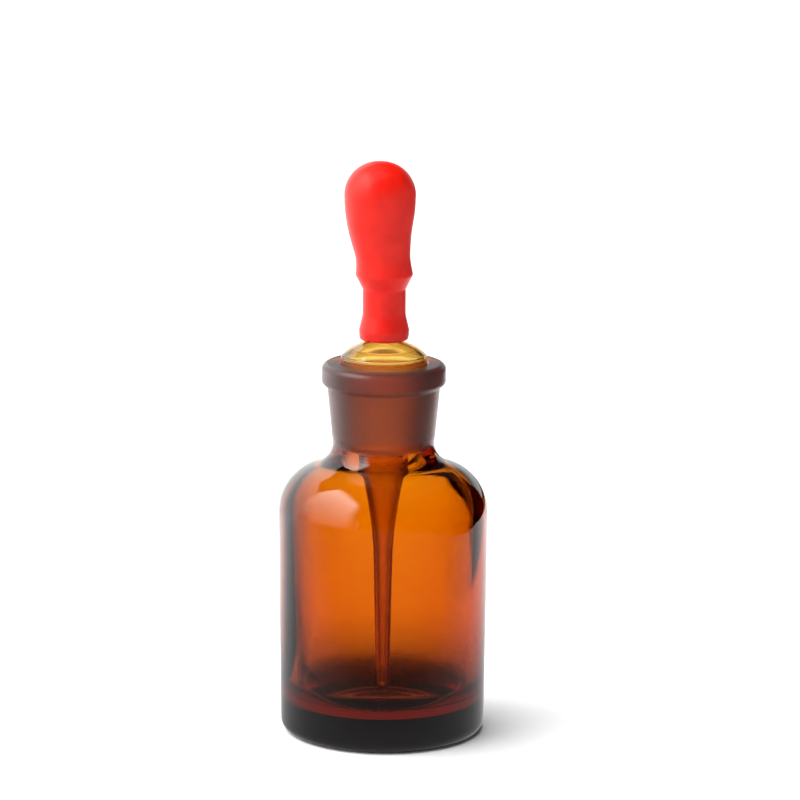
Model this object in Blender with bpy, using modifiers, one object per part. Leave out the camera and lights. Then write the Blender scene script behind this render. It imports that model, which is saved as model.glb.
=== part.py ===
"""Amber laboratory dropper bottle: a glass bottle, a ground-in hollow glass dropper and a rubber bulb.

Metres, +Z up. The origin is on the bottle's axis, in the plane that it stands on. All three pieces are
bodies of revolution about Z, each turned from one outline of corners with a fillet radius at each.
"""

import math

import bpy

MM = 0.001

# Fillets of the small edges, shared by all three pieces.
CRISP = 0.3 * MM
FINE = 0.5 * MM
SOFT = 1.0 * MM

# Bottle, outside. The body narrows a little from the shoulder to the heel, and the neck from rim to root.
BODY_RADIUS = 22.15 * MM
HEEL_RADIUS = 21.5 * MM
HEEL_FILLET = 2.4 * MM
SHOULDER_Z = 54.2 * MM
SHOULDER_FILLET = 10.2 * MM
NECK_ROOT_Z = 58.9 * MM
NECK_ROOT_RADIUS = 10.35 * MM
NECK_ROOT_FILLET = 5.0 * MM
NECK_HEAD_RADIUS = 11.85 * MM
RIM_RADIUS = 13.0 * MM
RIM_FOOT_Z = 74.0 * MM
RIM_FOOT_SLOPE = 0.8 * MM
RIM_FILLET = 1.3 * MM
BOTTLE_HEIGHT = 79.0 * MM

# Bottle, base: a flat ring to stand on, around a shallow punt.
STANDING_RING_RADIUS = 15.0 * MM
PUNT_FLAT_RADIUS = 11.5 * MM
PUNT_DEPTH = 0.9 * MM

# Bottle, inside. The wall thickens towards the heel, and the floor rises slightly to the middle.
BODY_WALL = 2.7 * MM
HEEL_WALL = 3.4 * MM
FLOOR_Z = 5.2 * MM
FLOOR_RISE = 0.5 * MM
FLOOR_FLAT_RADIUS = 8.0 * MM
FLOOR_FILLET = 12.0 * MM
INNER_HEEL_FILLET = 7.0 * MM
INNER_SHOULDER_Z = 53.3 * MM
INNER_SHOULDER_FILLET = 8.8 * MM
INNER_NECK_Z = 58.0 * MM
INNER_NECK_FILLET = 3.6 * MM

# Ground joint between bottle and dropper: one in ten on the diameter.
JOINT_TAPER = 0.05
JOINT_GAP = 0.2 * MM
BORE_MOUTH_RADIUS = 9.1 * MM
BORE_FOOT_Z = 61.2 * MM
PLUG_HEAD_Z = 80.6 * MM
PLUG_FOOT_Z = 61.6 * MM
PLUG_WALL = 1.0 * MM

# Dropper above the joint: a hollow domed shoulder, and the nipple that carries the bulb.
DOME_EDGE_RADIUS = 7.2 * MM
DOME_EDGE_Z = 82.1 * MM
DOME_EDGE_FILLET = 3.0 * MM
NIPPLE_ROOT_Z = 83.9 * MM
NIPPLE_ROOT_FILLET = 0.8 * MM
INNER_DOME_TOP_Z = 83.75 * MM
INNER_DOME_TOP_FILLET = 1.2 * MM
INNER_DOME_EDGE_RADIUS = 6.65 * MM
INNER_DOME_EDGE_Z = 81.45 * MM
INNER_DOME_EDGE_FILLET = 2.0 * MM
INNER_DOME_FOOT_Z = 80.3 * MM
INNER_DOME_FOOT_WALL = 0.6 * MM
NIPPLE_RADIUS = 3.2 * MM
NIPPLE_BORE_RADIUS = 1.6 * MM
NIPPLE_LIP_RADIUS = 3.5 * MM
NIPPLE_LIP_LENGTH = 1.4 * MM
NIPPLE_TOP_Z = 98.6 * MM

# Dropper below the joint: a funnel that runs into a slowly tapering tube with a drawn tip.
FUNNEL_HEAD_RADIUS = 5.45 * MM
FUNNEL_HEAD_Z = 58.4 * MM
FUNNEL_FOOT_Z = 38.0 * MM
FUNNEL_CURVE = 1.55
TUBE_HEAD_RADIUS = 2.0 * MM
TUBE_FOOT_RADIUS = 1.55 * MM
TUBE_WALL = 1.0 * MM
JET_HEAD_Z = 16.0 * MM
TIP_RADIUS = 1.0 * MM
TIP_BORE_RADIUS = 0.5 * MM
TIP_Z = 8.6 * MM

# Rubber bulb, outside.
BULB_FOOT_Z = 84.0 * MM
BULB_TOP_Z = 121.4 * MM
BULB_RADIUS = 7.45 * MM
BULB_CROWN_FILLET = 7.0 * MM
BULB_BELLY_Z = 111.6 * MM
BULB_BELLY_FILLET = 32.0 * MM
WAIST_RADIUS = 5.6 * MM
WAIST_Z = 101.0 * MM
WAIST_FILLET = 10.0 * MM
RIDGE_RADIUS = 6.0 * MM
RIDGE_Z = 97.7 * MM
SLEEVE_RADIUS = 4.5 * MM
SLEEVE_HEAD_Z = 94.7 * MM
SLEEVE_FOOT_Z = 89.2 * MM
SLEEVE_FOOT_FILLET = 4.0 * MM
LIP_RADIUS = 5.25 * MM
LIP_Z = 86.0 * MM
BULB_FOOT_RADIUS = 5.1 * MM

# Rubber bulb, inside: a sleeve for the nipple and the air chamber.
SLEEVE_BORE_RADIUS = 3.65 * MM
SLEEVE_BORE_TOP_Z = 97.8 * MM
CHAMBER_FOOT_Z = 99.0 * MM
BULB_WALL = 1.4 * MM

# Mesh fineness.
BOTTLE_SIDES = 40
SMALL_SIDES = 24
DEGREES_PER_STEP = 20.0
FUNNEL_STEPS = 5
AXIS_MERGE = 0.00001


def rounded(corners):
    """The outline through corners (radius, z, fillet), each turned into an arc of its fillet radius."""
    outline = [corners[0][:2]]
    for before, here, after in zip(corners, corners[1:], corners[2:]):
        outline += fillet(before, here, after)
    return outline + [corners[-1][:2]]


def fillet(before, here, after):
    """Points of the arc that rounds one corner, or the corner itself where its fillet is zero."""
    back, ahead = direction(here, before), direction(here, after)
    inside = math.acos(max(-1.0, min(1.0, back[0] * ahead[0] + back[1] * ahead[1])))
    turn = math.pi - inside
    if here[2] == 0.0 or turn < math.radians(0.5):
        return [here[:2]]
    reach = here[2] * math.tan(turn / 2)
    start = (here[0] + back[0] * reach, here[1] + back[1] * reach)
    middle = direction((0.0, 0.0), (back[0] + ahead[0], back[1] + ahead[1]))
    to_centre = here[2] / math.sin(inside / 2)
    centre = (here[0] + middle[0] * to_centre, here[1] + middle[1] * to_centre)
    first = math.atan2(start[1] - centre[1], start[0] - centre[0])
    way = 1.0 if back[0] * ahead[1] < back[1] * ahead[0] else -1.0
    steps = max(2, round(math.degrees(turn) / DEGREES_PER_STEP))
    angles = [first + way * turn * i / steps for i in range(steps + 1)]
    return [(centre[0] + here[2] * math.cos(a), centre[1] + here[2] * math.sin(a)) for a in angles]


def direction(start, end):
    """The unit vector from start to end, both read as (radius, z)."""
    step = (end[0] - start[0], end[1] - start[1])
    length = math.hypot(*step)
    return (step[0] / length, step[1] / length)


def bore_radius(z):
    """Radius of the ground bore at height z."""
    return BORE_MOUTH_RADIUS - JOINT_TAPER * (BOTTLE_HEIGHT - z)


def plug_radius(z):
    """Radius of the dropper's ground plug at height z."""
    return bore_radius(z) - JOINT_GAP


def bottle_outline():
    """From the centre of the inner floor, up the inside, over the rim and down the outside to the base."""
    return rounded([
        (0.0, FLOOR_Z + FLOOR_RISE, 0.0),
        (FLOOR_FLAT_RADIUS, FLOOR_Z, FLOOR_FILLET),
        (HEEL_RADIUS - HEEL_WALL, FLOOR_Z, INNER_HEEL_FILLET),
        (BODY_RADIUS - BODY_WALL, INNER_SHOULDER_Z, INNER_SHOULDER_FILLET),
        (bore_radius(INNER_NECK_Z), INNER_NECK_Z, INNER_NECK_FILLET),
        (bore_radius(BORE_FOOT_Z), BORE_FOOT_Z, 0.0),
        (BORE_MOUTH_RADIUS, BOTTLE_HEIGHT, FINE),
        (RIM_RADIUS, BOTTLE_HEIGHT, RIM_FILLET),
        (RIM_RADIUS, RIM_FOOT_Z + RIM_FOOT_SLOPE, SOFT),
        (NECK_HEAD_RADIUS, RIM_FOOT_Z, FINE),
        (NECK_ROOT_RADIUS, NECK_ROOT_Z, NECK_ROOT_FILLET),
        (BODY_RADIUS, SHOULDER_Z, SHOULDER_FILLET),
        (HEEL_RADIUS, 0.0, HEEL_FILLET),
        (STANDING_RING_RADIUS, 0.0, 0.0),
        (PUNT_FLAT_RADIUS, PUNT_DEPTH, 0.0),
        (0.0, PUNT_DEPTH, 0.0),
    ])


def tube_radius(z):
    """Outer radius of the dropper's funnel and tube at height z."""
    slope = (TUBE_HEAD_RADIUS - TUBE_FOOT_RADIUS) / (FUNNEL_FOOT_Z - JET_HEAD_Z)
    tube = TUBE_FOOT_RADIUS + slope * (z - JET_HEAD_Z)
    tube_at_head = TUBE_FOOT_RADIUS + slope * (FUNNEL_HEAD_Z - JET_HEAD_Z)
    share = max(0.0, (z - FUNNEL_FOOT_Z) / (FUNNEL_HEAD_Z - FUNNEL_FOOT_Z))
    return tube + (FUNNEL_HEAD_RADIUS - tube_at_head) * share**FUNNEL_CURVE


def funnel_corners(wall, head_z):
    """Corners down the funnel and tube, at a distance of wall inside the outer surface."""
    step = (head_z - FUNNEL_FOOT_Z) / FUNNEL_STEPS
    heights = [head_z - step * i for i in range(FUNNEL_STEPS + 1)] + [JET_HEAD_Z]
    return [(tube_radius(z) - wall, z, 0.0) for z in heights]


def dropper_outside():
    """Corners down the outside of the dropper, from the mouth of its nipple to its tip."""
    lip_foot_z = NIPPLE_TOP_Z - NIPPLE_LIP_LENGTH
    return [
        (NIPPLE_BORE_RADIUS, NIPPLE_TOP_Z, 0.0),
        (NIPPLE_LIP_RADIUS, NIPPLE_TOP_Z, FINE),
        (NIPPLE_LIP_RADIUS, lip_foot_z, CRISP),
        (NIPPLE_RADIUS, lip_foot_z - FINE, CRISP),
        (NIPPLE_RADIUS, NIPPLE_ROOT_Z, NIPPLE_ROOT_FILLET),
        (DOME_EDGE_RADIUS, DOME_EDGE_Z, DOME_EDGE_FILLET),
        (plug_radius(PLUG_HEAD_Z), PLUG_HEAD_Z, FINE),
        (plug_radius(PLUG_FOOT_Z), PLUG_FOOT_Z, SOFT),
        (FUNNEL_HEAD_RADIUS + CRISP, FUNNEL_HEAD_Z + SOFT, SOFT),
        *funnel_corners(0.0, FUNNEL_HEAD_Z),
        (TIP_RADIUS, TIP_Z, 0.0),
    ]


def dropper_inside():
    """Corners down the bore of the dropper, from the root of its nipple to its tip."""
    return [
        (NIPPLE_BORE_RADIUS, INNER_DOME_TOP_Z, INNER_DOME_TOP_FILLET),
        (INNER_DOME_EDGE_RADIUS, INNER_DOME_EDGE_Z, INNER_DOME_EDGE_FILLET),
        (plug_radius(PLUG_HEAD_Z) - INNER_DOME_FOOT_WALL, INNER_DOME_FOOT_Z, FINE),
        (plug_radius(PLUG_FOOT_Z) - PLUG_WALL, PLUG_FOOT_Z + CRISP, SOFT),
        (FUNNEL_HEAD_RADIUS + CRISP - TUBE_WALL, FUNNEL_HEAD_Z + SOFT, SOFT),
        *funnel_corners(TUBE_WALL, FUNNEL_HEAD_Z - FINE),
        (TIP_BORE_RADIUS, TIP_Z, 0.0),
    ]


def dropper_outline():
    """A closed loop: down the outside and back up the bore."""
    outside = dropper_outside()
    return rounded(outside + dropper_inside()[::-1] + outside[:1])[:-1]


def bulb_outline():
    """From the crown down the outside to the mouth, and up the inside to the roof of the air chamber."""
    chamber_roof_z = BULB_TOP_Z - BULB_WALL
    return rounded([
        (0.0, BULB_TOP_Z, 0.0),
        (BULB_RADIUS, BULB_TOP_Z, BULB_CROWN_FILLET),
        (BULB_RADIUS, BULB_BELLY_Z, BULB_BELLY_FILLET),
        (WAIST_RADIUS, WAIST_Z, WAIST_FILLET),
        (RIDGE_RADIUS, RIDGE_Z, SOFT),
        (SLEEVE_RADIUS, SLEEVE_HEAD_Z, SOFT),
        (SLEEVE_RADIUS, SLEEVE_FOOT_Z, SLEEVE_FOOT_FILLET),
        (LIP_RADIUS, LIP_Z, SOFT),
        (BULB_FOOT_RADIUS, BULB_FOOT_Z, FINE),
        (SLEEVE_BORE_RADIUS, BULB_FOOT_Z, CRISP),
        (SLEEVE_BORE_RADIUS, SLEEVE_BORE_TOP_Z, 0.0),
        (WAIST_RADIUS - BULB_WALL, CHAMBER_FOOT_Z, 0.0),
        (WAIST_RADIUS - BULB_WALL, WAIST_Z, WAIST_FILLET),
        (BULB_RADIUS - BULB_WALL, BULB_BELLY_Z, BULB_BELLY_FILLET - BULB_WALL),
        (BULB_RADIUS - BULB_WALL, chamber_roof_z, BULB_CROWN_FILLET - BULB_WALL),
        (0.0, chamber_roof_z, 0.0),
    ])


def material(name, colour, roughness, transmission):
    """A Principled material with no metal in it."""
    made = bpy.data.materials.new(name)
    made.use_nodes = True
    made.diffuse_color = (*colour, 1.0)
    shader = made.node_tree.nodes["Principled BSDF"]
    shader.inputs["Base Color"].default_value = (*colour, 1.0)
    shader.inputs["Roughness"].default_value = roughness
    shader.inputs["Metallic"].default_value = 0.0
    shader.inputs["Transmission Weight"].default_value = transmission
    return made


def turned(name, outline, sides, finish, parts, root, closed=False):
    """One body of revolution about Z. An open outline starts and ends on the axis; a closed one is a loop."""
    ends = len(outline)
    edges = [(i, (i + 1) % ends) for i in range(ends if closed else ends - 1)]
    mesh = bpy.data.meshes.new(name)
    mesh.from_pydata([(radius, 0.0, z) for radius, z in outline], edges, [])
    mesh.materials.append(finish)
    body = bpy.data.objects.new(name, mesh)
    body.parent = root
    parts.objects.link(body)
    screw = body.modifiers.new("turn", "SCREW")
    screw.axis = "Z"
    screw.angle = 2.0 * math.pi
    screw.steps = sides
    screw.render_steps = sides
    screw.use_merge_vertices = True
    screw.merge_threshold = AXIS_MERGE
    screw.use_smooth_shade = True


def clear_scene():
    """Removes whatever objects the scene starts with."""
    for old in list(bpy.data.objects):
        bpy.data.objects.remove(old, do_unlink=True)


def main():
    clear_scene()
    parts = bpy.data.collections.new("dropper_bottle")
    bpy.context.scene.collection.children.link(parts)
    root = bpy.data.objects.new("dropper_bottle_frame", None)
    parts.objects.link(root)

    amber = material("amber_glass", (0.60, 0.20, 0.02), 0.03, 1.0)
    pale_amber = material("pale_amber_glass", (0.90, 0.62, 0.16), 0.03, 1.0)
    rubber = material("red_rubber", (0.80, 0.03, 0.02), 0.45, 0.0)

    turned("bottle", bottle_outline(), BOTTLE_SIDES, amber, parts, root)
    turned("dropper", dropper_outline(), SMALL_SIDES, pale_amber, parts, root, closed=True)
    turned("rubber_bulb", bulb_outline(), SMALL_SIDES, rubber, parts, root)


main()
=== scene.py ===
"""Amber laboratory dropper bottle: glass bottle, ground-in glass dropper and rubber bulb, in a pale studio.

All lengths are in metres. Each piece is a fine turned mesh that stands for its CAD node, drawn from the same
outline with smaller arc steps, and each has a procedural material.
"""

import math

import bmesh
import bpy
from mathutils import Matrix, Vector


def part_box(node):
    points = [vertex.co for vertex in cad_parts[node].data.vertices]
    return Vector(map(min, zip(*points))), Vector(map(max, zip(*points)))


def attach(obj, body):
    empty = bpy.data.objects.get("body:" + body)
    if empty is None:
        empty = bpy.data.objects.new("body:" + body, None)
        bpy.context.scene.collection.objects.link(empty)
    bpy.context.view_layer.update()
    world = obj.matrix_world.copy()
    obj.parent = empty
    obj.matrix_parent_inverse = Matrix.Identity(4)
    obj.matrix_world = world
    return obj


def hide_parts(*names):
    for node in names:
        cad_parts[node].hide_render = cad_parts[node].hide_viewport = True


MM = 0.001
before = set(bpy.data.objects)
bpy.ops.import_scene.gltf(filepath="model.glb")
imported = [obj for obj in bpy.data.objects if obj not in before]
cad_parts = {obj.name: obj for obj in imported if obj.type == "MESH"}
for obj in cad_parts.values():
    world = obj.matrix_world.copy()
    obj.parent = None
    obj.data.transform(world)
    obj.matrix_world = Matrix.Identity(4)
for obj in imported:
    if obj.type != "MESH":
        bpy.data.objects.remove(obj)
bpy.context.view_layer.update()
bottle_low, bottle_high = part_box("bottle")
dropper_low, dropper_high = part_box("dropper")
bulb_low, bulb_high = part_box("rubber_bulb")

# ---------------------------------------------------------------- sizes, the same as the CAD part's

CRISP = 0.3 * MM
FINE = 0.5 * MM
SOFT = 1.0 * MM

BODY_RADIUS = 22.15 * MM
HEEL_RADIUS = 21.5 * MM
HEEL_FILLET = 2.4 * MM
SHOULDER_Z = 54.2 * MM
SHOULDER_FILLET = 10.2 * MM
NECK_ROOT_Z = 58.9 * MM
NECK_ROOT_RADIUS = 10.35 * MM
NECK_ROOT_FILLET = 5.0 * MM
NECK_HEAD_RADIUS = 11.85 * MM
RIM_RADIUS = 13.0 * MM
RIM_FOOT_Z = 74.0 * MM
RIM_FOOT_SLOPE = 0.8 * MM
RIM_FILLET = 1.3 * MM
BOTTLE_HEIGHT = bottle_high.z

STANDING_RING_RADIUS = 15.0 * MM
PUNT_FLAT_RADIUS = 11.5 * MM
PUNT_DEPTH = 0.9 * MM

BODY_WALL = 2.7 * MM
HEEL_WALL = 3.4 * MM
FLOOR_Z = 5.2 * MM
FLOOR_RISE = 0.5 * MM
FLOOR_FLAT_RADIUS = 8.0 * MM
FLOOR_FILLET = 12.0 * MM
INNER_HEEL_FILLET = 7.0 * MM
INNER_SHOULDER_Z = 53.3 * MM
INNER_SHOULDER_FILLET = 8.8 * MM
INNER_NECK_Z = 58.0 * MM
INNER_NECK_FILLET = 3.6 * MM

JOINT_TAPER = 0.05
JOINT_GAP = 0.2 * MM
BORE_MOUTH_RADIUS = 9.1 * MM
BORE_FOOT_Z = 61.2 * MM
PLUG_HEAD_Z = 80.6 * MM
PLUG_FOOT_Z = 61.6 * MM
PLUG_WALL = 1.0 * MM

DOME_EDGE_RADIUS = 7.2 * MM
DOME_EDGE_Z = 82.1 * MM
DOME_EDGE_FILLET = 3.0 * MM
NIPPLE_ROOT_Z = 83.9 * MM
NIPPLE_ROOT_FILLET = 0.8 * MM
INNER_DOME_TOP_Z = 83.75 * MM
INNER_DOME_TOP_FILLET = 1.2 * MM
INNER_DOME_EDGE_RADIUS = 6.65 * MM
INNER_DOME_EDGE_Z = 81.45 * MM
INNER_DOME_EDGE_FILLET = 2.0 * MM
INNER_DOME_FOOT_Z = 80.3 * MM
INNER_DOME_FOOT_WALL = 0.6 * MM
NIPPLE_RADIUS = 3.2 * MM
NIPPLE_BORE_RADIUS = 1.6 * MM
NIPPLE_LIP_RADIUS = 3.5 * MM
NIPPLE_LIP_LENGTH = 1.4 * MM
NIPPLE_TOP_Z = dropper_high.z

FUNNEL_HEAD_RADIUS = 5.45 * MM
FUNNEL_HEAD_Z = 58.4 * MM
FUNNEL_FOOT_Z = 38.0 * MM
FUNNEL_CURVE = 1.55
FUNNEL_STEPS = 24
TUBE_HEAD_RADIUS = 2.0 * MM
TUBE_FOOT_RADIUS = 1.55 * MM
TUBE_WALL = 1.0 * MM
JET_HEAD_Z = 16.0 * MM
TIP_RADIUS = 1.0 * MM
TIP_BORE_RADIUS = 0.5 * MM
TIP_Z = dropper_low.z

BULB_FOOT_Z = bulb_low.z
BULB_TOP_Z = bulb_high.z
BULB_RADIUS = 7.45 * MM
BULB_CROWN_FILLET = 7.0 * MM
BULB_BELLY_Z = 111.6 * MM
BULB_BELLY_FILLET = 32.0 * MM
WAIST_RADIUS = 5.6 * MM
WAIST_Z = 101.0 * MM
WAIST_FILLET = 10.0 * MM
RIDGE_RADIUS = 6.0 * MM
RIDGE_Z = 97.7 * MM
SLEEVE_RADIUS = 4.5 * MM
SLEEVE_HEAD_Z = 94.7 * MM
SLEEVE_FOOT_Z = 89.2 * MM
SLEEVE_FOOT_FILLET = 4.0 * MM
LIP_RADIUS = 5.25 * MM
LIP_Z = 86.0 * MM
BULB_FOOT_RADIUS = 5.1 * MM
SLEEVE_BORE_RADIUS = 3.65 * MM
SLEEVE_BORE_TOP_Z = 97.8 * MM
CHAMBER_FOOT_Z = 99.0 * MM
BULB_WALL = 1.4 * MM

# ---------------------------------------------------------------- mesh fineness

BOTTLE_SIDES = 160
SMALL_SIDES = 96
DEGREES_PER_STEP = 5.0
LONGEST_STEP = 1.5 * MM
AXIS_TOLERANCE = 1e-6
STRAIGHT_ENOUGH = math.radians(0.5)
FEWEST_ARC_STEPS = 3

# ---------------------------------------------------------------- outlines


def direction(start, end):
    """The unit vector from start to end, both read as (radius, z)."""
    step = (end[0] - start[0], end[1] - start[1])
    length = math.hypot(*step)
    return (step[0] / length, step[1] / length)


def fillet(before, here, after):
    """Points of the arc that rounds one corner, or the corner itself where its fillet is zero."""
    back, ahead = direction(here, before), direction(here, after)
    inside = math.acos(max(-1.0, min(1.0, back[0] * ahead[0] + back[1] * ahead[1])))
    turn = math.pi - inside
    if here[2] == 0.0 or turn < STRAIGHT_ENOUGH:
        return [here[:2]]
    reach = here[2] * math.tan(turn / 2)
    start = (here[0] + back[0] * reach, here[1] + back[1] * reach)
    middle = direction((0.0, 0.0), (back[0] + ahead[0], back[1] + ahead[1]))
    to_centre = here[2] / math.sin(inside / 2)
    centre = (here[0] + middle[0] * to_centre, here[1] + middle[1] * to_centre)
    first = math.atan2(start[1] - centre[1], start[0] - centre[0])
    way = 1.0 if back[0] * ahead[1] < back[1] * ahead[0] else -1.0
    steps = max(FEWEST_ARC_STEPS, round(math.degrees(turn) / DEGREES_PER_STEP))
    angles = [first + way * turn * i / steps for i in range(steps + 1)]
    return [(centre[0] + here[2] * math.cos(a), centre[1] + here[2] * math.sin(a)) for a in angles]


def rounded(corners):
    """The outline through corners (radius, z, fillet), each turned into an arc of its fillet radius."""
    outline = [corners[0][:2]]
    for before, here, after in zip(corners, corners[1:], corners[2:]):
        outline += fillet(before, here, after)
    return outline + [corners[-1][:2]]


def stepped(outline):
    """The same outline with its long straight runs divided."""
    points = [outline[0]]
    for start, end in zip(outline, outline[1:]):
        steps = max(1, math.ceil(math.dist(start, end) / LONGEST_STEP))
        for i in range(1, steps + 1):
            share = i / steps
            points.append((start[0] + (end[0] - start[0]) * share, start[1] + (end[1] - start[1]) * share))
    return points


def bore_radius(z):
    """Radius of the ground bore at height z."""
    return BORE_MOUTH_RADIUS - JOINT_TAPER * (BOTTLE_HEIGHT - z)


def plug_radius(z):
    """Radius of the dropper's ground plug at height z."""
    return bore_radius(z) - JOINT_GAP


def bottle_outline():
    """From the centre of the inner floor, up the inside, over the rim and down the outside to the base."""
    return rounded([
        (0.0, FLOOR_Z + FLOOR_RISE, 0.0),
        (FLOOR_FLAT_RADIUS, FLOOR_Z, FLOOR_FILLET),
        (HEEL_RADIUS - HEEL_WALL, FLOOR_Z, INNER_HEEL_FILLET),
        (BODY_RADIUS - BODY_WALL, INNER_SHOULDER_Z, INNER_SHOULDER_FILLET),
        (bore_radius(INNER_NECK_Z), INNER_NECK_Z, INNER_NECK_FILLET),
        (bore_radius(BORE_FOOT_Z), BORE_FOOT_Z, 0.0),
        (BORE_MOUTH_RADIUS, BOTTLE_HEIGHT, FINE),
        (RIM_RADIUS, BOTTLE_HEIGHT, RIM_FILLET),
        (RIM_RADIUS, RIM_FOOT_Z + RIM_FOOT_SLOPE, SOFT),
        (NECK_HEAD_RADIUS, RIM_FOOT_Z, FINE),
        (NECK_ROOT_RADIUS, NECK_ROOT_Z, NECK_ROOT_FILLET),
        (BODY_RADIUS, SHOULDER_Z, SHOULDER_FILLET),
        (HEEL_RADIUS, 0.0, HEEL_FILLET),
        (STANDING_RING_RADIUS, 0.0, FINE),
        (PUNT_FLAT_RADIUS, PUNT_DEPTH, SOFT),
        (0.0, PUNT_DEPTH, 0.0),
    ])


def tube_radius(z):
    """Outer radius of the dropper's funnel and tube at height z."""
    slope = (TUBE_HEAD_RADIUS - TUBE_FOOT_RADIUS) / (FUNNEL_FOOT_Z - JET_HEAD_Z)
    tube = TUBE_FOOT_RADIUS + slope * (z - JET_HEAD_Z)
    tube_at_head = TUBE_FOOT_RADIUS + slope * (FUNNEL_HEAD_Z - JET_HEAD_Z)
    share = max(0.0, (z - FUNNEL_FOOT_Z) / (FUNNEL_HEAD_Z - FUNNEL_FOOT_Z))
    return tube + (FUNNEL_HEAD_RADIUS - tube_at_head) * share**FUNNEL_CURVE


def funnel_corners(wall, head_z):
    """Corners down the funnel and tube, at a distance of wall inside the outer surface."""
    step = (head_z - FUNNEL_FOOT_Z) / FUNNEL_STEPS
    heights = [head_z - step * i for i in range(FUNNEL_STEPS + 1)] + [JET_HEAD_Z]
    return [(tube_radius(z) - wall, z, 0.0) for z in heights]


def dropper_outline():
    """A closed loop: down the outside of the dropper and back up its bore."""
    lip_foot_z = NIPPLE_TOP_Z - NIPPLE_LIP_LENGTH
    outside = [
        (NIPPLE_BORE_RADIUS, NIPPLE_TOP_Z, 0.0),
        (NIPPLE_LIP_RADIUS, NIPPLE_TOP_Z, FINE),
        (NIPPLE_LIP_RADIUS, lip_foot_z, CRISP),
        (NIPPLE_RADIUS, lip_foot_z - FINE, CRISP),
        (NIPPLE_RADIUS, NIPPLE_ROOT_Z, NIPPLE_ROOT_FILLET),
        (DOME_EDGE_RADIUS, DOME_EDGE_Z, DOME_EDGE_FILLET),
        (plug_radius(PLUG_HEAD_Z), PLUG_HEAD_Z, FINE),
        (plug_radius(PLUG_FOOT_Z), PLUG_FOOT_Z, SOFT),
        (FUNNEL_HEAD_RADIUS + CRISP, FUNNEL_HEAD_Z + SOFT, SOFT),
        *funnel_corners(0.0, FUNNEL_HEAD_Z),
        (TIP_RADIUS, TIP_Z, 0.0),
    ]
    inside = [
        (NIPPLE_BORE_RADIUS, INNER_DOME_TOP_Z, INNER_DOME_TOP_FILLET),
        (INNER_DOME_EDGE_RADIUS, INNER_DOME_EDGE_Z, INNER_DOME_EDGE_FILLET),
        (plug_radius(PLUG_HEAD_Z) - INNER_DOME_FOOT_WALL, INNER_DOME_FOOT_Z, FINE),
        (plug_radius(PLUG_FOOT_Z) - PLUG_WALL, PLUG_FOOT_Z + CRISP, SOFT),
        (FUNNEL_HEAD_RADIUS + CRISP - TUBE_WALL, FUNNEL_HEAD_Z + SOFT, SOFT),
        *funnel_corners(TUBE_WALL, FUNNEL_HEAD_Z - FINE),
        (TIP_BORE_RADIUS, TIP_Z, 0.0),
    ]
    return rounded(outside + inside[::-1] + outside[:1])


def bulb_outline():
    """From the crown down the outside to the mouth, and up the inside to the roof of the air chamber."""
    chamber_roof_z = BULB_TOP_Z - BULB_WALL
    return rounded([
        (0.0, BULB_TOP_Z, 0.0),
        (BULB_RADIUS, BULB_TOP_Z, BULB_CROWN_FILLET),
        (BULB_RADIUS, BULB_BELLY_Z, BULB_BELLY_FILLET),
        (WAIST_RADIUS, WAIST_Z, WAIST_FILLET),
        (RIDGE_RADIUS, RIDGE_Z, SOFT),
        (SLEEVE_RADIUS, SLEEVE_HEAD_Z, SOFT),
        (SLEEVE_RADIUS, SLEEVE_FOOT_Z, SLEEVE_FOOT_FILLET),
        (LIP_RADIUS, LIP_Z, SOFT),
        (BULB_FOOT_RADIUS, BULB_FOOT_Z, FINE),
        (SLEEVE_BORE_RADIUS, BULB_FOOT_Z, CRISP),
        (SLEEVE_BORE_RADIUS, SLEEVE_BORE_TOP_Z, 0.0),
        (WAIST_RADIUS - BULB_WALL, CHAMBER_FOOT_Z, 0.0),
        (WAIST_RADIUS - BULB_WALL, WAIST_Z, WAIST_FILLET),
        (BULB_RADIUS - BULB_WALL, BULB_BELLY_Z, BULB_BELLY_FILLET - BULB_WALL),
        (BULB_RADIUS - BULB_WALL, chamber_roof_z, BULB_CROWN_FILLET - BULB_WALL),
        (0.0, chamber_roof_z, 0.0),
    ])


# ---------------------------------------------------------------- meshes


def ring_faces(rings, sides, loop):
    """Quads between neighbouring rings of points, and from the last ring to the first in a loop."""
    faces = []
    for i in range(rings if loop else rings - 1):
        low, high = i * sides, ((i + 1) % rings) * sides
        for k in range(sides):
            after = (k + 1) % sides
            faces.append((low + k, high + k, high + after, low + after))
    return faces


def cap_faces(ring, sides, pole, first):
    """A fan of triangles from a pole on the axis to the first or the last ring."""
    edges = [(ring * sides + k, ring * sides + (k + 1) % sides) for k in range(sides)]
    return [(pole, *edge) if first else (pole, *edge[::-1]) for edge in edges]


def turned_mesh(name, outline, sides, place):
    """A closed mesh of revolution about Z. The outline ends on the axis at both ends, or is a loop."""
    outline = stepped(outline)
    loop = outline[0][0] > AXIS_TOLERANCE
    ring_points = outline[:-1] if loop else outline[1:-1]
    rings = len(ring_points)
    turns = [2.0 * math.pi * i / sides for i in range(sides)]
    points = []
    for radius, z in ring_points:
        points += [Vector((radius * math.cos(a), radius * math.sin(a), z)) for a in turns]
    faces = ring_faces(rings, sides, loop)
    if not loop:
        for ring, z in ((0, outline[0][1]), (rings - 1, outline[-1][1])):
            faces += cap_faces(ring, sides, len(points), ring == 0)
            points.append(Vector((0.0, 0.0, z)))
    mesh = bpy.data.meshes.new(name)
    mesh.from_pydata([place(point) for point in points], [], faces)
    mesh.validate()
    face_outwards(mesh)
    mesh.shade_smooth()
    return mesh


def face_outwards(mesh):
    """Turns every face of a closed mesh to point out of it."""
    faces = bmesh.new()
    faces.from_mesh(mesh)
    bmesh.ops.recalc_face_normals(faces, faces=faces.faces)
    faces.to_mesh(mesh)
    faces.free()


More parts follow.
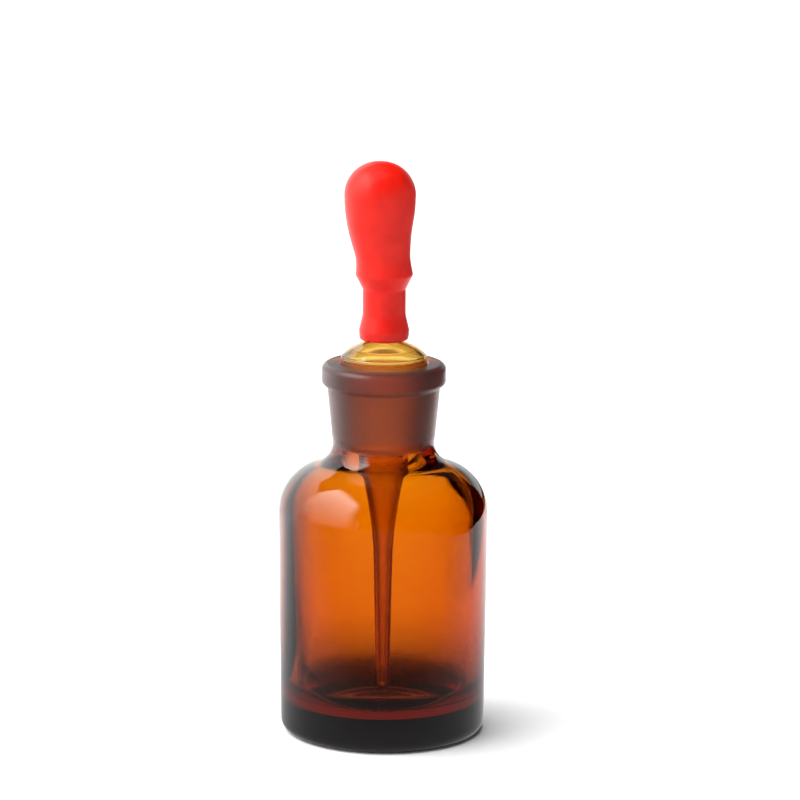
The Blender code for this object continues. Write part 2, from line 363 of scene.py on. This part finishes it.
def mark_ground(mesh, share):
    """Stores how ground the glass is at each point, from 0 to 1, as share says."""
    layer = mesh.attributes.new("ground", "FLOAT", "POINT")
    layer.data.foreach_set("value", [share(point.co) for point in mesh.vertices])


def add_piece(mesh, body, node, finish):
    """An object that shows the mesh, rides on a body and takes the place of that body's CAD node."""
    mesh.materials.append(finish)
    piece = bpy.data.objects.new(mesh.name, mesh)
    bpy.context.scene.collection.objects.link(piece)
    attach(piece, body)
    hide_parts(node)


# ---------------------------------------------------------------- shader nodes


def principled(name):
    """A new material, its node tree and its Principled shader."""
    material = bpy.data.materials.new(name)
    material.use_nodes = True
    return material, material.node_tree, material.node_tree.nodes["Principled BSDF"]


def place_of(tree):
    """The place on the object, in metres, as a vector output."""
    return tree.nodes.new("ShaderNodeTexCoord").outputs["Object"]


def parts_of(tree, vector):
    """The outputs X, Y and Z of a vector."""
    split = tree.nodes.new("ShaderNodeSeparateXYZ")
    tree.links.new(vector, split.inputs[0])
    return split.outputs


def noise(tree, scale, detail):
    """A noise texture over the object, from 0 to 1."""
    texture = tree.nodes.new("ShaderNodeTexNoise")
    texture.inputs["Scale"].default_value = scale
    texture.inputs["Detail"].default_value = detail
    tree.links.new(place_of(tree), texture.inputs["Vector"])
    return texture.outputs["Fac"]


def remap(tree, value, start, end, first=0.0, last=1.0, shape="LINEAR"):
    """Value turned into first at start, last at end, and a ramp of the given shape between them."""
    step = tree.nodes.new("ShaderNodeMapRange")
    step.interpolation_type = shape
    step.inputs["From Min"].default_value = start
    step.inputs["From Max"].default_value = end
    step.inputs["To Min"].default_value = first
    step.inputs["To Max"].default_value = last
    tree.links.new(value, step.inputs["Value"])
    return step.outputs["Result"]


def soft_step(tree, value, start, end):
    """Value turned into 0 at start and 1 at end, with a smooth ramp between them."""
    return remap(tree, value, start, end, shape="SMOOTHSTEP")


def combine(tree, operation, first, second):
    """The result of a math operation on two sockets."""
    node = tree.nodes.new("ShaderNodeMath")
    node.operation = operation
    tree.links.new(first, node.inputs[0])
    tree.links.new(second, node.inputs[1])
    return node.outputs[0]


def weighted(tree, weights):
    """The dot product of the place on the object and the weights."""
    dot = tree.nodes.new("ShaderNodeVectorMath")
    dot.operation = "DOT_PRODUCT"
    dot.inputs[1].default_value = weights
    tree.links.new(place_of(tree), dot.inputs[0])
    return dot.outputs["Value"]


def bump(tree, height, distance):
    """A bump node of full strength for a height from 0 to distance."""
    node = tree.nodes.new("ShaderNodeBump")
    node.inputs["Strength"].default_value = 1.0
    node.inputs["Distance"].default_value = distance
    tree.links.new(height, node.inputs["Height"])
    return node


# ---------------------------------------------------------------- glass

GLASS_IOR = 1.52
GROUND_ROUGHNESS = 0.5
GROUND_HAZE = 0.03
SMEAR_SCALE = 90.0
SMEAR_DETAIL = 4.0
SMEAR_FIRST = 0.45
SMEAR_LAST = 0.75
SMEAR_ROUGHNESS = 0.03
WAVE_SCALE = 70.0
WAVE_DETAIL = 1.0
WAVE_HEIGHT = 0.06 * MM
GRIT_SCALE = 2500.0
GRIT_DETAIL = 2.0
GRIT_HEIGHT = 0.03 * MM

BOTTLE_TINT = (0.925, 0.742, 0.0)
BOTTLE_DENSITY = 1500.0
DROPPER_TINT = (0.964, 0.743, 0.0)
DROPPER_DENSITY = 1400.0


def colour_by_depth(tree, tint, density):
    """Absorption that colours the glass by the length of the light's way through it."""
    volume = tree.nodes.new("ShaderNodeVolumeAbsorption")
    volume.inputs["Color"].default_value = (*tint, 1.0)
    volume.inputs["Density"].default_value = density
    tree.links.new(volume.outputs["Volume"], tree.nodes["Material Output"].inputs["Volume"])


def glass(name, tint, density):
    """Amber glass, faintly wavy and smeared, and frosted and hazy where the mesh's ground attribute is 1."""
    material, tree, shader = principled(name)
    shader.inputs["Base Color"].default_value = (1.0, 1.0, 1.0, 1.0)
    shader.inputs["Transmission Weight"].default_value = 1.0
    shader.inputs["IOR"].default_value = GLASS_IOR
    colour_by_depth(tree, tint, density)

    mask = tree.nodes.new("ShaderNodeAttribute")
    mask.attribute_name = "ground"
    ground = mask.outputs["Fac"]
    frost = remap(tree, ground, 0.0, 1.0, 0.0, GROUND_ROUGHNESS)
    smear = noise(tree, SMEAR_SCALE, SMEAR_DETAIL)
    smear = remap(tree, smear, SMEAR_FIRST, SMEAR_LAST, 0.0, SMEAR_ROUGHNESS)
    tree.links.new(combine(tree, "ADD", frost, smear), shader.inputs["Roughness"])
    clear = remap(tree, ground, 0.0, 1.0, 1.0, 1.0 - GROUND_HAZE)
    tree.links.new(clear, shader.inputs["Transmission Weight"])

    swell = bump(tree, noise(tree, WAVE_SCALE, WAVE_DETAIL), WAVE_HEIGHT)
    grit = bump(tree, noise(tree, GRIT_SCALE, GRIT_DETAIL), GRIT_HEIGHT)
    tree.links.new(ground, grit.inputs["Strength"])
    tree.links.new(swell.outputs["Normal"], grit.inputs["Normal"])
    tree.links.new(grit.outputs["Normal"], shader.inputs["Normal"])
    return material


# Where the glass is ground. The outside of the neck and the drawn tube are only partly matte.

SURFACE_MARGIN = 0.05 * MM
GROUND_EDGE = 0.1 * MM
BORE_MOUTH_EDGE = 0.4 * MM
PLUG_DEPTH = 0.3 * MM
NECK_MATTE = 0.6
NECK_MATTE_FOOT_Z = 60.0 * MM
NECK_MATTE_HEAD_Z = 64.0 * MM
TUBE_MATTE = 0.6


def bottle_ground(point):
    """1 on the ground bore, less on the outside of the neck and rim, and 0 elsewhere."""
    if math.hypot(point.x, point.y) < bore_radius(point.z) + SURFACE_MARGIN:
        return 1.0 if BORE_FOOT_Z - GROUND_EDGE < point.z < BOTTLE_HEIGHT - BORE_MOUTH_EDGE else 0.0
    rise = (point.z - NECK_MATTE_FOOT_Z) / (NECK_MATTE_HEAD_Z - NECK_MATTE_FOOT_Z)
    return NECK_MATTE * max(0.0, min(1.0, rise))


def dropper_ground(point):
    """1 on the outside of the ground plug, less on the funnel and tube, and 0 elsewhere."""
    if point.z < FUNNEL_HEAD_Z:
        return TUBE_MATTE
    outside = math.hypot(point.x, point.y) > plug_radius(point.z) - PLUG_DEPTH
    return 1.0 if outside and PLUG_FOOT_Z + FINE < point.z < BOTTLE_HEIGHT else 0.0


# ---------------------------------------------------------------- rubber

RUBBER_DARK = (0.60, 0.006, 0.002, 1.0)
RUBBER_LIGHT = (0.74, 0.013, 0.005, 1.0)
RUBBER_DARK_AT = 0.3
RUBBER_LIGHT_AT = 0.7
RUBBER_SPECULAR = 0.28
RUBBER_SMOOTHEST = 0.30
RUBBER_ROUGHEST = 0.42
CLOUD_SCALE = 220.0
CLOUD_DETAIL = 5.0
GRAIN_SCALE = 2600.0
GRAIN_DETAIL = 3.0
GRAIN_HEIGHT = 0.08 * MM
GRAIN_STRENGTH = 0.25

BULB_LEAN = 0.95 * MM
LEAN_FOOT_Z = 97.0 * MM
LEAN_HEAD_Z = 108.0 * MM


def rubber(name):
    """Matte moulded rubber, faintly mottled, with a fine grain."""
    material, tree, shader = principled(name)
    cloud = noise(tree, CLOUD_SCALE, CLOUD_DETAIL)
    tone = tree.nodes.new("ShaderNodeValToRGB")
    dark, light = tone.color_ramp.elements
    dark.position, dark.color = RUBBER_DARK_AT, RUBBER_DARK
    light.position, light.color = RUBBER_LIGHT_AT, RUBBER_LIGHT
    tree.links.new(cloud, tone.inputs["Fac"])
    tree.links.new(tone.outputs["Color"], shader.inputs["Base Color"])
    shader.inputs["Specular IOR Level"].default_value = RUBBER_SPECULAR
    roughness = remap(tree, cloud, 0.0, 1.0, RUBBER_SMOOTHEST, RUBBER_ROUGHEST)
    tree.links.new(roughness, shader.inputs["Roughness"])
    grain = bump(tree, noise(tree, GRAIN_SCALE, GRAIN_DETAIL), GRAIN_HEIGHT)
    grain.inputs["Strength"].default_value = GRAIN_STRENGTH
    tree.links.new(grain.outputs["Normal"], shader.inputs["Normal"])
    return material


def leaning(point):
    """The bulb's point, moved to the left above the ridge."""
    share = min(1.0, max(0.0, (point.z - LEAN_FOOT_Z) / (LEAN_HEAD_Z - LEAN_FOOT_Z)))
    share = share * share * (3.0 - 2.0 * share)
    return Vector((point.x - BULB_LEAN * share, point.y, point.z))


def upright(point):
    """The point as it is."""
    return point


# ---------------------------------------------------------------- pieces

amber = glass("amber_glass", BOTTLE_TINT, BOTTLE_DENSITY)
pale_amber = glass("pale_amber_glass", DROPPER_TINT, DROPPER_DENSITY)
red = rubber("red_rubber")

bottle_mesh = turned_mesh("bottle_glass", bottle_outline(), BOTTLE_SIDES, upright)
mark_ground(bottle_mesh, bottle_ground)
add_piece(bottle_mesh, "bottle", "bottle", amber)

dropper_mesh = turned_mesh("dropper_glass", dropper_outline(), SMALL_SIDES, upright)
mark_ground(dropper_mesh, dropper_ground)
add_piece(dropper_mesh, "dropper", "dropper", pale_amber)

bulb_mesh = turned_mesh("bulb_rubber", bulb_outline(), SMALL_SIDES, leaning)
add_piece(bulb_mesh, "bulb", "rubber_bulb", red)

# ---------------------------------------------------------------- studio: floor and surroundings

RAYS = ("camera", "diffuse", "glossy", "transmission", "shadow", "volume_scatter")
FLOOR_HALF = 6.0
FLOOR_WHITE = (0.85, 0.85, 0.85, 1.0)
HORIZON_LIGHT = 1.02
OVERHEAD_LIGHT = 0.03
HORIZON_TOP = math.radians(8.0)
OVERHEAD_FOOT = math.radians(20.0)


def level(low, high, z):
    """The corners of a level rectangle, from its low and high corner (x, y), at height z."""
    return [(low[0], low[1], z), (high[0], low[1], z), (high[0], high[1], z), (low[0], high[1], z)]


def upstanding(start, end, start_top, end_top):
    """The corners of an upright card that stands on the line from start to end, both (x, y)."""
    return [(*start, 0.0), (*end, 0.0), (*end, end_top), (*start, start_top)]


def flat_object(name, corners, material, seen_by):
    """An object of one face for the studio, which only the named kinds of ray see."""
    mesh = bpy.data.meshes.new(name)
    mesh.from_pydata(corners, [], [(0, 1, 2, 3)])
    mesh.materials.append(material)
    sheet = bpy.data.objects.new(name, mesh)
    bpy.context.scene.collection.objects.link(sheet)
    for kind in RAYS:
        setattr(sheet, "visible_" + kind, kind in seen_by)


def add_floor():
    """A plain pale floor without any shine."""
    material, _, shader = principled("floor")
    shader.inputs["Base Color"].default_value = FLOOR_WHITE
    shader.inputs["Roughness"].default_value = 1.0
    shader.inputs["Specular IOR Level"].default_value = 0.0
    corners = level((-FLOOR_HALF, -FLOOR_HALF), (FLOOR_HALF, FLOOR_HALF), 0.0)
    flat_object("floor", corners, material, RAYS)


def add_surroundings():
    """White all round the horizon, fading to a dark room overhead."""
    world = bpy.data.worlds.new("studio")
    bpy.context.scene.world = world
    world.use_nodes = True
    tree = world.node_tree
    background = tree.nodes["Background"]
    background.inputs["Color"].default_value = (1.0, 1.0, 1.0, 1.0)
    rise = parts_of(tree, tree.nodes.new("ShaderNodeTexCoord").outputs["Generated"])["Z"]
    start, end = math.sin(HORIZON_TOP), math.sin(OVERHEAD_FOOT)
    fall = remap(tree, rise, start, end, HORIZON_LIGHT, OVERHEAD_LIGHT, "SMOOTHSTEP")
    tree.links.new(fall, background.inputs["Strength"])


# ---------------------------------------------------------------- studio: cards
# The camera sees past every card to the floor. Each card names the kinds of ray that do see it.

LEFT_X = -0.62
RIGHT_X = 2.0
ROOM_FRONT_Y = -2.0
ROOM_BACK_Y = 3.0
ROOM_HEIGHT = 3.0
WALL_START_Y = -1.2

LEFT_PANEL_BACK_Y = 0.16
LEFT_PANEL_FRONT_Y = -1.1
LEFT_PANEL_TOP_BACK = (LEFT_X, 0.3, 1.35)
LEFT_PANEL_TOP_FRONT = (LEFT_X, -0.9, 1.6)
LEFT_PANEL_WEIGHTS = (0.0, 0.0, 5.2)
LEFT_PANEL_START = 0.7
LEFT_PANEL_RANGE = (0.5, 8.0)
LEFT_PANEL_TOP_FADE = (1.5, 1.05)
LEFT_PANEL_FRONT_FADE = (-1.1, -0.55)

# Brightness of the painted reflection behind on the left.
BACK_REFLECTION_STRENGTH = 1.65
BACK_PANEL_END = (-0.10, 1.10)
BACK_PANEL_HEIGHTS = (0.60, 0.80)

PAPER_Z = 0.6 * MM
PAPER_LEFT_X = -1.2
PAPER_EDGE_X = 0.185
PAPER_BACK_Y = 2.0
# Brightness of the painted reflection of the paper, brighter towards the back.
PAPER_REFLECTION_WEIGHTS = (-0.85, 7.0, 0.0)
PAPER_REFLECTION_START = 0.62
PAPER_REFLECTION_RANGE = (0.12, 1.7)

BACK_SHADE_START = (-1.2, 0.1)
BACK_SHADE_END = (-0.35, 1.2)
BACK_SHADE_HEIGHT = 0.8


def emitter(name, strength):
    """An emitting material, its tree, and its emission node, whose strength may be linked later."""
    material = bpy.data.materials.new(name)
    material.use_nodes = True
    tree = material.node_tree
    tree.nodes.remove(tree.nodes["Principled BSDF"])
    light = tree.nodes.new("ShaderNodeEmission")
    light.inputs["Strength"].default_value = strength
    tree.links.new(light.outputs[0], tree.nodes["Material Output"].inputs["Surface"])
    return material, tree, light


def gradient(tree, weights, start, lowest, highest):
    """Start plus the weighted place, held between lowest and highest."""
    add = tree.nodes.new("ShaderNodeMath")
    add.operation = "ADD"
    add.inputs[1].default_value = start
    tree.links.new(weighted(tree, weights), add.inputs[0])
    clamp = tree.nodes.new("ShaderNodeClamp")
    clamp.inputs["Min"].default_value = lowest
    clamp.inputs["Max"].default_value = highest
    tree.links.new(add.outputs[0], clamp.inputs[0])
    return clamp.outputs[0]


def add_left_panel():
    """The main light: brighter with height, and faded out towards its top and its front edge."""
    material, tree, light = emitter("left_panel", 1.0)
    strength = gradient(tree, LEFT_PANEL_WEIGHTS, LEFT_PANEL_START, *LEFT_PANEL_RANGE)
    place = parts_of(tree, place_of(tree))
    top = soft_step(tree, place["Z"], *LEFT_PANEL_TOP_FADE)
    front = soft_step(tree, place["Y"], *LEFT_PANEL_FRONT_FADE)
    edge = combine(tree, "MULTIPLY", top, front)
    tree.links.new(combine(tree, "MULTIPLY", strength, edge), light.inputs["Strength"])
    foot = [(LEFT_X, LEFT_PANEL_BACK_Y, 0.0), (LEFT_X, LEFT_PANEL_FRONT_Y, 0.0)]
    corners = [*foot, LEFT_PANEL_TOP_FRONT, LEFT_PANEL_TOP_BACK]
    flat_object("left_panel", corners, material, ("diffuse", "glossy"))


def add_back_panel():
    """Painted reflection of a light wall behind on the left: a glowing card that lights nothing, seen only
    where the glass reflects it, at its left edge.
    """
    material, _, _ = emitter("back_painted_reflection", BACK_REFLECTION_STRENGTH)
    corners = upstanding((LEFT_X, LEFT_PANEL_BACK_Y), BACK_PANEL_END, *BACK_PANEL_HEIGHTS)
    flat_object("back_painted_reflection", corners, material, ("glossy",))


def add_painted_dark_walls(black):
    """Painted dark reflections of a room in front and on the right: black cards that only the glass's
    reflections see, and on the right also what it transmits.
    """
    front = upstanding((LEFT_X, WALL_START_Y), (RIGHT_X, ROOM_FRONT_Y), ROOM_HEIGHT, ROOM_HEIGHT)
    flat_object("front_painted_dark_wall", front, black, ("glossy",))
    right = upstanding((RIGHT_X, ROOM_FRONT_Y), (RIGHT_X, ROOM_BACK_Y), ROOM_HEIGHT, ROOM_HEIGHT)
    flat_object("right_painted_dark_wall", right, black, ("glossy", "transmission"))


def add_painted_paper_reflection(black):
    """The paper's glow painted into the glass's reflections, brightest behind, and painted dark past its
    right edge, for reflections and for what the glass transmits.
    """
    material, tree, light = emitter("painted_paper_reflection", 1.0)
    tree.links.new(gradient(tree, PAPER_REFLECTION_WEIGHTS, PAPER_REFLECTION_START, *PAPER_REFLECTION_RANGE), light.inputs["Strength"])
    sheet = level((PAPER_LEFT_X, ROOM_FRONT_Y), (PAPER_EDGE_X, PAPER_BACK_Y), PAPER_Z)
    flat_object("painted_paper_reflection", sheet, material, ("glossy",))
    beyond = level((PAPER_EDGE_X, ROOM_FRONT_Y), (RIGHT_X, ROOM_BACK_Y), PAPER_Z)
    flat_object("painted_dark_past_paper", beyond, black, ("glossy", "transmission"))


def add_back_left_shade(black):
    """Painted shade for a dark corner behind on the left: a black card that only what the glass transmits
    can see.
    """
    corners = upstanding(BACK_SHADE_START, BACK_SHADE_END, BACK_SHADE_HEIGHT, BACK_SHADE_HEIGHT)
    flat_object("back_left_shade", corners, black, ("transmission",))


def shade_card(name, opacity, corners):
    """A black card with the opacity that a function gives, which only what the glass transmits can see."""
    material, tree, dark = emitter(name, 0.0)
    clear = tree.nodes.new("ShaderNodeBsdfTransparent")
    mix = tree.nodes.new("ShaderNodeMixShader")
    tree.links.new(opacity(tree), mix.inputs["Fac"])
    tree.links.new(clear.outputs[0], mix.inputs[1])
    tree.links.new(dark.outputs[0], mix.inputs[2])
    tree.links.new(mix.outputs[0], tree.nodes["Material Output"].inputs["Surface"])
    flat_object(name, corners, material, ("transmission",))


FOOT_SHADE_LOW = (-1.2, -0.4)
FOOT_SHADE_HIGH = (0.4, 1.2)
FOOT_SHADE_Z = 0.9 * MM
FOOT_SHADE_REACH = 0.095
FOOT_SHADE_CORE = 0.015
SECTOR_APEX = (-15.0 * MM, 16.5 * MM, 0.0)
SECTOR_FIRST = (math.radians(-10.0), math.radians(-36.0))
SECTOR_LAST = (math.radians(-95.0), math.radians(-75.0))


def foot_shade(tree):
    """Opacity of the shadow round the foot, and of the dark sector behind on the left."""
    distance = tree.nodes.new("ShaderNodeVectorMath")
    distance.operation = "LENGTH"
    tree.links.new(place_of(tree), distance.inputs[0])
    contact = soft_step(tree, distance.outputs["Value"], FOOT_SHADE_REACH, FOOT_SHADE_CORE)
    offset = tree.nodes.new("ShaderNodeVectorMath")
    offset.operation = "SUBTRACT"
    offset.inputs[1].default_value = SECTOR_APEX
    tree.links.new(place_of(tree), offset.inputs[0])
    from_apex = parts_of(tree, offset.outputs["Vector"])
    angle = combine(tree, "ARCTAN2", from_apex["X"], from_apex["Y"])
    first = remap(tree, angle, *SECTOR_FIRST)
    last = soft_step(tree, angle, *SECTOR_LAST)
    return combine(tree, "MAXIMUM", contact, combine(tree, "MULTIPLY", first, last))


RIGHT_SHADE_LOW = (-0.1, -0.1)
RIGHT_SHADE_HIGH = (1.0, 0.9)
RIGHT_SHADE_Z = 1.2 * MM
RIGHT_SHADE_SLANT = 0.275
RIGHT_SHADE_SIDE = (0.102, 0.123)
RIGHT_SHADE_FAR = (0.46, 0.38)


def right_shade(tree):
    """Opacity of the painted shade on the ground behind on the right, soft towards the middle and the
    distance.
    """
    side = soft_step(tree, weighted(tree, (1.0, RIGHT_SHADE_SLANT, 0.0)), *RIGHT_SHADE_SIDE)
    far = soft_step(tree, parts_of(tree, place_of(tree))["Y"], *RIGHT_SHADE_FAR)
    return combine(tree, "MULTIPLY", side, far)


# ---------------------------------------------------------------- studio: lamps

HIDDEN_FROM = ("camera", "glossy", "transmission")
FILL_PLACE = Vector((-0.5, -1.15, 1.05))
FILL_TARGET = Vector((0.0, 0.1, 0.0))
FILL_SIZE = (0.45, 0.3)
FILL_RADIANCE = 4.0
SUN_STRENGTH = 4.5
SUN_SPREAD = math.radians(70.0)
SUN_ELEVATION = math.radians(72.0)
SUN_AZIMUTH = math.radians(-105.0)


def add_lamp(name, data, towards):
    """A lamp that shines from the direction towards it, and that neither the camera nor the glass shows."""
    lamp = bpy.data.objects.new(name, data)
    bpy.context.scene.collection.objects.link(lamp)
    lamp.rotation_euler = (-towards).to_track_quat("-Z", "Y").to_euler()
    for kind in HIDDEN_FROM:
        setattr(lamp, "visible_" + kind, False)
    return lamp


def add_front_fill():
    """A small soft light from the front left, for the floor and the rubber."""
    data = bpy.data.lights.new("front_fill", "AREA")
    data.shape = "RECTANGLE"
    data.size, data.size_y = FILL_SIZE
    data.energy = FILL_RADIANCE * math.pi * FILL_SIZE[0] * FILL_SIZE[1]
    add_lamp("front_fill", data, FILL_PLACE - FILL_TARGET).location = FILL_PLACE


def add_high_light():
    """A wide soft light from above, a little to the left."""
    data = bpy.data.lights.new("high_soft_light", "SUN")
    data.energy = SUN_STRENGTH
    data.angle = SUN_SPREAD
    across = math.cos(SUN_ELEVATION)
    towards = (math.sin(SUN_AZIMUTH) * across, -math.cos(SUN_AZIMUTH) * across, math.sin(SUN_ELEVATION))
    add_lamp("high_soft_light", data, Vector(towards))


add_floor()
add_surroundings()
add_left_panel()
add_back_panel()
# Unlit black for the cards that paint dark into reflections and into what the glass transmits.
painted_dark_card, _, _ = emitter("painted_dark_card", 0.0)
add_painted_dark_walls(painted_dark_card)
add_painted_paper_reflection(painted_dark_card)
add_front_fill()
add_high_light()
shade_card("foot_shade", foot_shade, level(FOOT_SHADE_LOW, FOOT_SHADE_HIGH, FOOT_SHADE_Z))
shade_card("right_shade", right_shade, level(RIGHT_SHADE_LOW, RIGHT_SHADE_HIGH, RIGHT_SHADE_Z))
add_back_left_shade(painted_dark_card)

# ---------------------------------------------------------------- camera

ELEVATION = math.radians(12.0)
DISTANCE = 0.850
AIM = Vector((0.0034, 0.0, 0.071))
LENS = 182.7
SENSOR_WIDTH = 36.0
ROLL = math.radians(0.32)
FARTHEST_SEEN = 100.0
LIGHT_BOUNCES = 24
GLOSSY_BOUNCES = 8

camera_data = bpy.data.cameras.new("camera")
camera_data.lens = LENS
camera_data.sensor_width = SENSOR_WIDTH
camera_data.clip_end = FARTHEST_SEEN
camera = bpy.data.objects.new("camera", camera_data)
bpy.context.scene.collection.objects.link(camera)
camera.location = AIM + Vector((0.0, -math.cos(ELEVATION), math.sin(ELEVATION))) * DISTANCE
tilt = Matrix.Rotation(math.pi / 2 - ELEVATION, 3, "X")
camera.rotation_euler = (tilt @ Matrix.Rotation(ROLL, 3, "Z")).to_euler()

scene = bpy.context.scene
scene.camera = camera
scene.view_settings.view_transform = "Standard"
scene.cycles.max_bounces = LIGHT_BOUNCES
scene.cycles.transmission_bounces = LIGHT_BOUNCES
scene.cycles.glossy_bounces = GLOSSY_BOUNCES

# ---------------------------------------------------------------- view layer update

bpy.context.view_layer.update()
